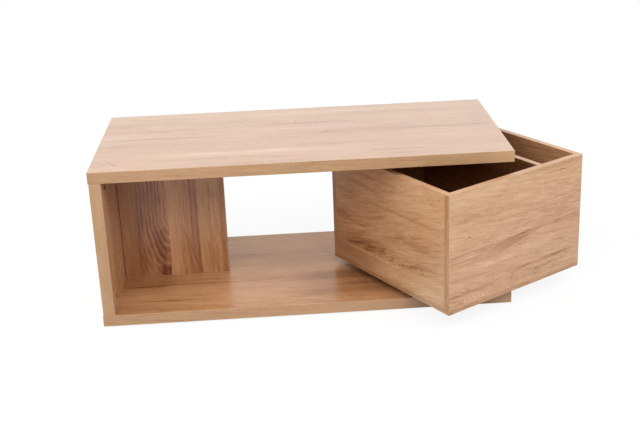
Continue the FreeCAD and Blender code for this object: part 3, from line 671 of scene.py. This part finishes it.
# Box front: 15 mm board, grain along it, the wall that faces outwards when the box is shut. The print shows a
# long brown flame from the left end, and broken streaks near the bottom.
FRONT_STREAKS = (
    # the flame: fine lines that fan out to the left
    (7, -10.5, 115, 1.8, 2.2, 0.016, 0.46),
    (-20, -15, 80, 1.8, 2.2, 0.05, 0.42),
    (-25, -20, 75, 1.8, 2.2, 0.08, 0.44),
    (-25, -24, 76, 1.8, 2.2, 0.12, 0.44),
    (-15, -26.5, 86, 1.8, 2.2, 0.155, 0.46),
    (-2, -28, 108, 2.2, 2.8, 0.185, 0.50),
    # its brown ground, and its tails to the left and right
    (-30, -14, 130, 4, 26, 0.06, 0.30),
    (-150, -40, 110, 8, 12, 0.03, 0.22),
    (-161, -12, 140, 1.8, 4, 0, 0.45),
    (-170, -30.5, 90, 4, 4, 0, 0.35),
    (-165, -21, 110, 10, 10, 0, 0.20),
    (98, -9.5, 100, 3, 7, 0.02, 0.26),
    (166, -7.5, 80, 2.5, 3, 0, 0.35),
    (166, -15.5, 80, 2.5, 3, 0, 0.32),
    # pale lines and patches in and around it
    (-86, -19.6, 36, 3, 3, 0.38, -0.36),
    (-165, -24, 80, 3, 3, 0, -0.30),
    (-24, 1, 80, 6, 8, 0, -0.35),
    (-70, -58, 80, 9, 9, 0, -0.45),
    (53, -51, 120, 16, 18, 0, -0.30),
    # broken streaks below it, and a few above
    (85, -97.5, 135, 5, 7, 0, 0.46),
    (12, -101, 40, 4, 4, 0.1, 0.35),
    (143, -96, 56, 4, 5, 0, 0.30),
    (105, -115.5, 90, 2.6, 3, 0, 0.45),
    (-152, -112, 130, 6, 9, 0, 0.32),
    (-175, -74, 110, 5, 6, -0.03, 0.34),
    (-110, -80, 70, 4, 4, 0, 0.28),
    (30, 42, 200, 3, 4, -0.05, 0.28),
    (-60, 66, 160, 3, 3, -0.06, 0.24),
    (130, 125, 66, 4, 5, -0.05, 0.50),
    (150, 139, 130, 8, 12, 0, 0.40),
    # pale patches near the top
    (25, 88, 56, 10, 12, 0, -0.35),
    (148, 62, 50, 3, 3, -0.02, -0.45),
    (-150, 126, 130, 26, 26, 0, -0.30),
    # pale ticks across the grain, left by the saw
    (84, 83, 1.8, 28, 28, 0, -0.50),
    (95, 80, 1.6, 18, 22, 0, -0.32),
    (107, 92, 1.6, 20, 16, 0, -0.32),
    (118.5, 88, 1.8, 26, 26, 0, -0.50),
    (-208.5, 26, 1.8, 30, 30, 0, -0.42),
    (-199.5, 31, 1.8, 36, 32, 0, -0.38),
    (-188, 22, 1.8, 28, 34, 0, -0.42),
    (-212, -131, 1.8, 12, 9, 0, -0.70),
    (-204, -133, 1.8, 9, 9, 0, -0.60),
    (-170, -133, 1.8, 9, 9, 0, -0.80),
    (-155, -132, 1.6, 9, 9, 0, -0.55),
    (-136, -133, 1.8, 10, 9, 0, -0.80),
    (-124.5, -131, 1.8, 11, 9, 0, -0.85),
    (-111, -133, 1.8, 10, 9, 0, -0.85),
    (-99.5, -132, 1.8, 9, 9, 0, -0.80),
)
oak(
    "box_front", grain="xzy", cut=(2.2, 8.6, 0.5), turn=BOX_OPEN, streaks=FRONT_STREAKS,
    tint=(1.0, 0.99, 1.02), Tone=0.60, Bands=0.30, Ribs=0.60, Dashes=0.68, Flecks=0.9, Slant=0.12
)

# Box inner side: 15 mm board, the wall that faces the open shelf. Its print shows dark arches cut off by the
# edge of a stave, and flecks above them.
INNER_SIDE_STREAKS = (
    # painted shade: a broad darker patch low in the middle of the board
    (80, -70, 110, 36, 30, -0.2, 0.32),
    # flecks and the arms of the arches
    (198, -19, 56, 13, 10, 0, 0.34),
    (157, -29.5, 95, 4, 4, 0, 0.34),
    (100, -30.5, 30, 4, 4, -0.2, 0.38),
    (175, -71.5, 66, 3, 4, -0.25, 0.20),
    (120, -58, 60, 2, 2.5, -0.32, 0.29),
    (108, -66, 80, 2.2, 2.8, -0.32, 0.28),
    (102, -74.5, 90, 3, 4, -0.32, 0.26),
    (112, -82, 64, 3.5, 5, -0.28, 0.20),
    (148, -86, 50, 4, 6, -0.2, 0.20),
    (65, -83, 36, 10, 11, -0.25, 0.42),
    (62, -77, 34, 3, 3, -0.28, 0.29),
    (70, -89, 30, 3, 4, -0.15, 0.34),
    (24, -77, 22, 14, 14, -0.45, 0.38),
    (22, -68, 18, 3, 3, -0.4, 0.25),
    (-53, -86.5, 16, 9, 8, -0.2, 0.35),
    (-84, -84, 36, 8, 9, -0.2, 0.38),
    (-100, -74, 60, 2.4, 3, -0.2, 0.34),
    (-138, -70, 95, 4, 6, -0.18, 0.34),
    (-150, -60, 80, 2.4, 3, -0.12, 0.25),
    (-13.5, -85, 13, 8, 8, -0.3, 0.27),
    (-98, -17, 105, 22, 20, 0, 0.25),
    (48, 6, 46, 8, 8, -0.3, 0.32),
    (-16, -26, 56, 7, 7, -0.25, 0.29),
    (-54, 45.5, 210, 4, 11, 0, 0.35),
    (168, 48, 50, 9, 9, 0, 0.32),
    (36, 107, 120, 8, 9, 0, 0.29),
    (125, 81, 80, 7, 8, 0, 0.27),
    # painted shade: a broad darker patch low towards the end that lies under the top board
    (157, -105, 170, 60, 60, 0, 0.46),
    # pale edge of the stave below, and pale streaks
    (75, -97.5, 160, 2, 6, 0, -0.50),
    (-80, -124, 190, 22, 22, 0, -0.32),
    (168, 15, 40, 14, 14, 0, -0.35),
    (120, -43, 90, 5, 5, -0.3, -0.40),
    (75, -55, 60, 4, 4, -0.3, -0.35),
    (89, 67, 80, 8, 10, 0.1, -0.35),
    (-70, -51, 100, 7, 7, -0.1, -0.30),
    # a pale tick left by the saw
    (176, -69, 1.8, 18, 18, 0, -0.50),
)
INNER_SIDE_RINGS = ((-14, -94, 9, 52, 500, 0.75, 1, 0.40),)
oak(
    "box_inner_side", grain="yzx", cut=(9.3, 2.8, 0.7), turn=BOX_OPEN, streaks=INNER_SIDE_STREAKS,
    rings=INNER_SIDE_RINGS, tint=(1.02, 0.98, 0.93), Tone=0.60, Bands=0.42, Ribs=0.66, Dashes=0.66,
    Flecks=1.0, Slant=0.24
)

# Back, end and divider: the box's other 15 mm boards, dowelled to the front and to each other. The divider
# parts a wide compartment from a narrow one. Their prints are darker than the front's, the divider's darkest:
# painted shade of the box's inside.
oak("box_back", grain="xzy", cut=(4.9, 6.2, 0.1), turn=BOX_OPEN, tint=(0.97, 0.92, 0.86), Tone=0.50)
oak("box_end_side", grain="yzx", cut=(8.1, 7.5, 0.4), turn=BOX_OPEN, tint=(0.94, 0.87, 0.79), Tone=0.47)
oak(
    "box_divider", grain="yzx", cut=(6.6, 9.4, 0.2), turn=BOX_OPEN, tint=(0.80, 0.73, 0.64),
    Tone=0.31, Ribs=0.32, Dashes=0.4
)

# Box edging and rims: 1 mm plastic strips in the same print, glued on the walls' upright ends and along their
# top edges, and trimmed flush.
oak(
    "box_end_edging", grain="zyx", cut=(1.7, 2.2, 0.8), turn=BOX_OPEN, tint=(0.94, 0.93, 0.87),
    Tone=0.44, Bands=0.3
)
oak("box_front_rims", grain="xyz", cut=(7.2, 5.5, 0.7), turn=BOX_OPEN, Tone=0.63, Bands=0.3)
oak("box_side_rims", grain="yxz", cut=(8.8, 4.3, 0.1), turn=BOX_OPEN, Tone=0.60, Bands=0.3)

# Bridge: a small board dowelled across the narrow compartment's back end, with a nylon bush that guides the
# box on the post near its top. The box's walls are held by beech dowels of the same kind.
level_beech = make_finish("beech_level", BEECH_TONES, pitch=(110, 110, 900), rough=0.62, bump=0.00012)
oak("pivot_bridge", grain="xyz", cut=(1.1, 1.6, 0.3), turn=BOX_OPEN, Tone=0.53)
finish(level_beech, "box_dowels", "bridge_dowels")
finish(nylon, "upper_bush")

# Top plate: a coated plate with a spigot that drops into the tube, locked by a grub screw and screwed up
# under the top board.
TOP_PLATE_FACE = 0.369
finish(powder_coat, "post_top_plate", "post_spigot")
finish(plated_steel, "post_grub_screw")
top_plate_spots = [spot + Vector((0, 0, TOP_PLATE_FACE)) for spot in plate_spots]
drive_screws("top_plate_screws", "table", plate_screw, top_plate_spots, upside_down=True)

# Top board: the same 28 mm board, laid on the side board and the post, with an edging strip on each of its
# four edges. Its resin is the glossiest of all.
TOP_STREAKS = (
    # brown streaks
    (-357, 9, 230, 6, 11, 0, 0.36),
    (-364, 8.5, 40, 5, 6, 0, 0.35),
    (-307, 38, 140, 6, 8, 0, 0.22),
    (-7, 86, 190, 6, 8, 0, 0.32),
    (186, 51, 60, 5, 6, 0, 0.30),
    (357, 0, 200, 8, 14, 0, 0.22),
    (321, -50, 140, 9, 14, 0, 0.18),
    (57, -93, 120, 10, 14, 0, 0.22),
    (-164, -162, 90, 6, 9, 0, 0.30),
    (-286, -164, 100, 6, 8, 0, 0.22),
    (204, -166, 60, 6, 7, 0, 0.42),
    (271, -164, 28, 5, 5, 0, 0.38),
    (-452, -168, 18, 10, 11, -1.2, 0.36),
    (-357, 178, 130, 8, 10, 0, 0.30),
    (464, 60, 45, 130, 130, 0, 0.16),
    # pale bands
    (-128, -128, 320, 16, 20, 0, -0.55),
    (100, 180, 300, 16, 18, 0, -0.25),
    (50, 45, 260, 14, 16, 0, -0.25),
    # dark and pale ticks across the grain, left by the saw
    (25, 94, 2.2, 22, 18, 0, 0.18),
    (46, 94, 2.2, 26, 18, 0, 0.22),
    (61, 92, 2.2, 20, 16, 0, 0.18),
    (-7, 100, 2, 14, 14, 0, 0.40),
    (39, 110, 2, 18, 14, 0, -0.45),
    (-14, 107, 2, 16, 14, 0, -0.35),
    (-125, 195, 2, 16, 16, 0, -0.60),
    (-118, 195, 2, 16, 16, 0, -0.60),
)
# its print is tinted cooler than the other boards': painted white sheen, added to what its coat reflects
oak(
    "top_board", grain="xyz", cut=(0.4, 2.9, 0.5), streaks=TOP_STREAKS, tint=(0.93, 0.955, 1.015), coat=0.8,
    Tone=0.565, Bands=0.5, Ribs=0.50, Dashes=0.4, Slant=0.05
)
oak("top_long_edging", grain="xzy", cut=(9.1, 8.2, 0.4), Tone=0.52, **EDGING_PRINT)
oak("top_end_edging", grain="yzx", cut=(6.9, 4.8, 0.9), Tone=0.52, **EDGING_PRINT)

# Floor: a sweep of white studio paper under the table. It is white where the camera or a mirror sees it, and
# keeps the table's soft shadow near by. The light that it throws back is that of a pale grey.
FLOOR_SIZE = 14.0
FLOOR_GREY = 0.6
SHADOW_KEPT, SHADOW_NEAR, SHADOW_FAR = 0.12, 0.9, 2.6


def seen_as_background(tree):
    """1 for rays from the camera, straight or by way of a mirror or glass, and 0 for light on the table."""
    path = shader_node(tree, "ShaderNodeLightPath").outputs
    mirrored = Signal(path["Is Camera Ray"]).step("MAXIMUM", path["Is Glossy Ray"])
    return mirrored.step("MAXIMUM", path["Is Transmission Ray"])


sweep = bmesh.new()
bmesh.ops.create_grid(sweep, x_segments=1, y_segments=1, size=FLOOR_SIZE / 2)
floor_mesh = bpy.data.meshes.new("floor")
sweep.to_mesh(floor_mesh)
sweep.free()
floor = bpy.data.objects.new("floor", floor_mesh)
bpy.context.scene.collection.objects.link(floor)
paper, tree, place = start_material("studio_paper")
seen = seen_as_background(tree)
reach = Signal(shader_node(tree, "ShaderNodeVectorMath", {0: place}, operation="LENGTH").outputs["Value"])
lit = reach.rise(SHADOW_NEAR, SHADOW_FAR) * SHADOW_KEPT + (1 - SHADOW_KEPT)
diffuse = shader_node(tree, "ShaderNodeBsdfDiffuse", {"Color": seen * (1 - FLOOR_GREY) + FLOOR_GREY})
white = shader_node(tree, "ShaderNodeEmission", {"Color": (1, 1, 1, 1), "Strength": 1.0})
mixed = shader_node(tree, "ShaderNodeMixShader", {0: seen * lit, 1: diffuse.outputs[0], 2: white.outputs[0]})
shader_node(tree, "ShaderNodeOutputMaterial", {"Surface": mixed.outputs[0]})
floor_mesh.materials.append(paper)

# Studio light: a white surround, a large soft light high to the right of the camera, weaker ones from the
# front and the left, and a faint one from behind.
SURROUND = 0.22
LIT_PLACE = Vector((0.05, 0.0, 0.25))
LIGHT_DISTANCE = 3.3
LIGHT_WIDTH, LIGHT_HEIGHT = 2.6, 2.0
SOFT_LIGHTS = (
    # name, degrees to the right of the front, degrees up, watts
    ("key", 40, 42, 82),
    ("front_fill", -25, 42, 38),
    ("left_fill", -90, 35, 66),
    ("back_fill", 180, 25, 40),
)
world = bpy.data.worlds.new("studio")
bpy.context.scene.world = world
world.use_nodes = True
tree = world.node_tree
tree.nodes.clear()
strength = seen_as_background(tree) * (1 - SURROUND) + SURROUND
sky = shader_node(tree, "ShaderNodeBackground", {"Color": (1, 1, 1, 1), "Strength": strength})
shader_node(tree, "ShaderNodeOutputWorld", {"Surface": sky.outputs[0]})
for name, azimuth, elevation, power in SOFT_LIGHTS:
    lamp = bpy.data.lights.new(name, "AREA")
    lamp.shape = "RECTANGLE"
    lamp.size = LIGHT_WIDTH
    lamp.size_y = LIGHT_HEIGHT
    lamp.energy = power
    lamp_object = bpy.data.objects.new(name, lamp)
    lamp_object.visible_glossy = False
    around, up = math.radians(azimuth), math.radians(elevation)
    towards = Vector((math.sin(around) * math.cos(up), -math.cos(around) * math.cos(up), math.sin(up)))
    lamp_object.location = LIT_PLACE + LIGHT_DISTANCE * towards
    lamp_object.rotation_euler = (-towards).to_track_quat("-Z", "Y").to_euler()
    bpy.context.scene.collection.objects.link(lamp_object)

# Camera: at the photograph's place, fitted to the table's straight edges. The photograph is cropped, so the
# lens is shifted a little.
IMAGE_WIDTH, IMAGE_HEIGHT = 640, 426
FOCAL_PIXELS = 1060.7
MIDDLE_X, MIDDLE_Y = 333.3, 164.8
SENSOR_WIDTH = 36
CAMERA_PLACE = (-0.0537, -2.5602, 1.2057)
CAMERA_DOWN, CAMERA_ROLL, CAMERA_TURN = 19.27, 1.92, -3.73
camera = bpy.data.cameras.new("camera")
camera.sensor_fit = "HORIZONTAL"
camera.sensor_width = SENSOR_WIDTH
camera.lens = FOCAL_PIXELS * SENSOR_WIDTH / IMAGE_WIDTH
camera.shift_x = (IMAGE_WIDTH / 2 - MIDDLE_X) / IMAGE_WIDTH
camera.shift_y = (MIDDLE_Y - IMAGE_HEIGHT / 2) / IMAGE_WIDTH
camera_object = bpy.data.objects.new("camera", camera)
camera_object.location = CAMERA_PLACE
angles = (90 - CAMERA_DOWN, CAMERA_ROLL, CAMERA_TURN)
camera_object.rotation_euler = [math.radians(angle) for angle in angles]
bpy.context.scene.collection.objects.link(camera_object)
bpy.context.scene.camera = camera_object
bpy.context.scene.view_settings.view_transform = "Standard"
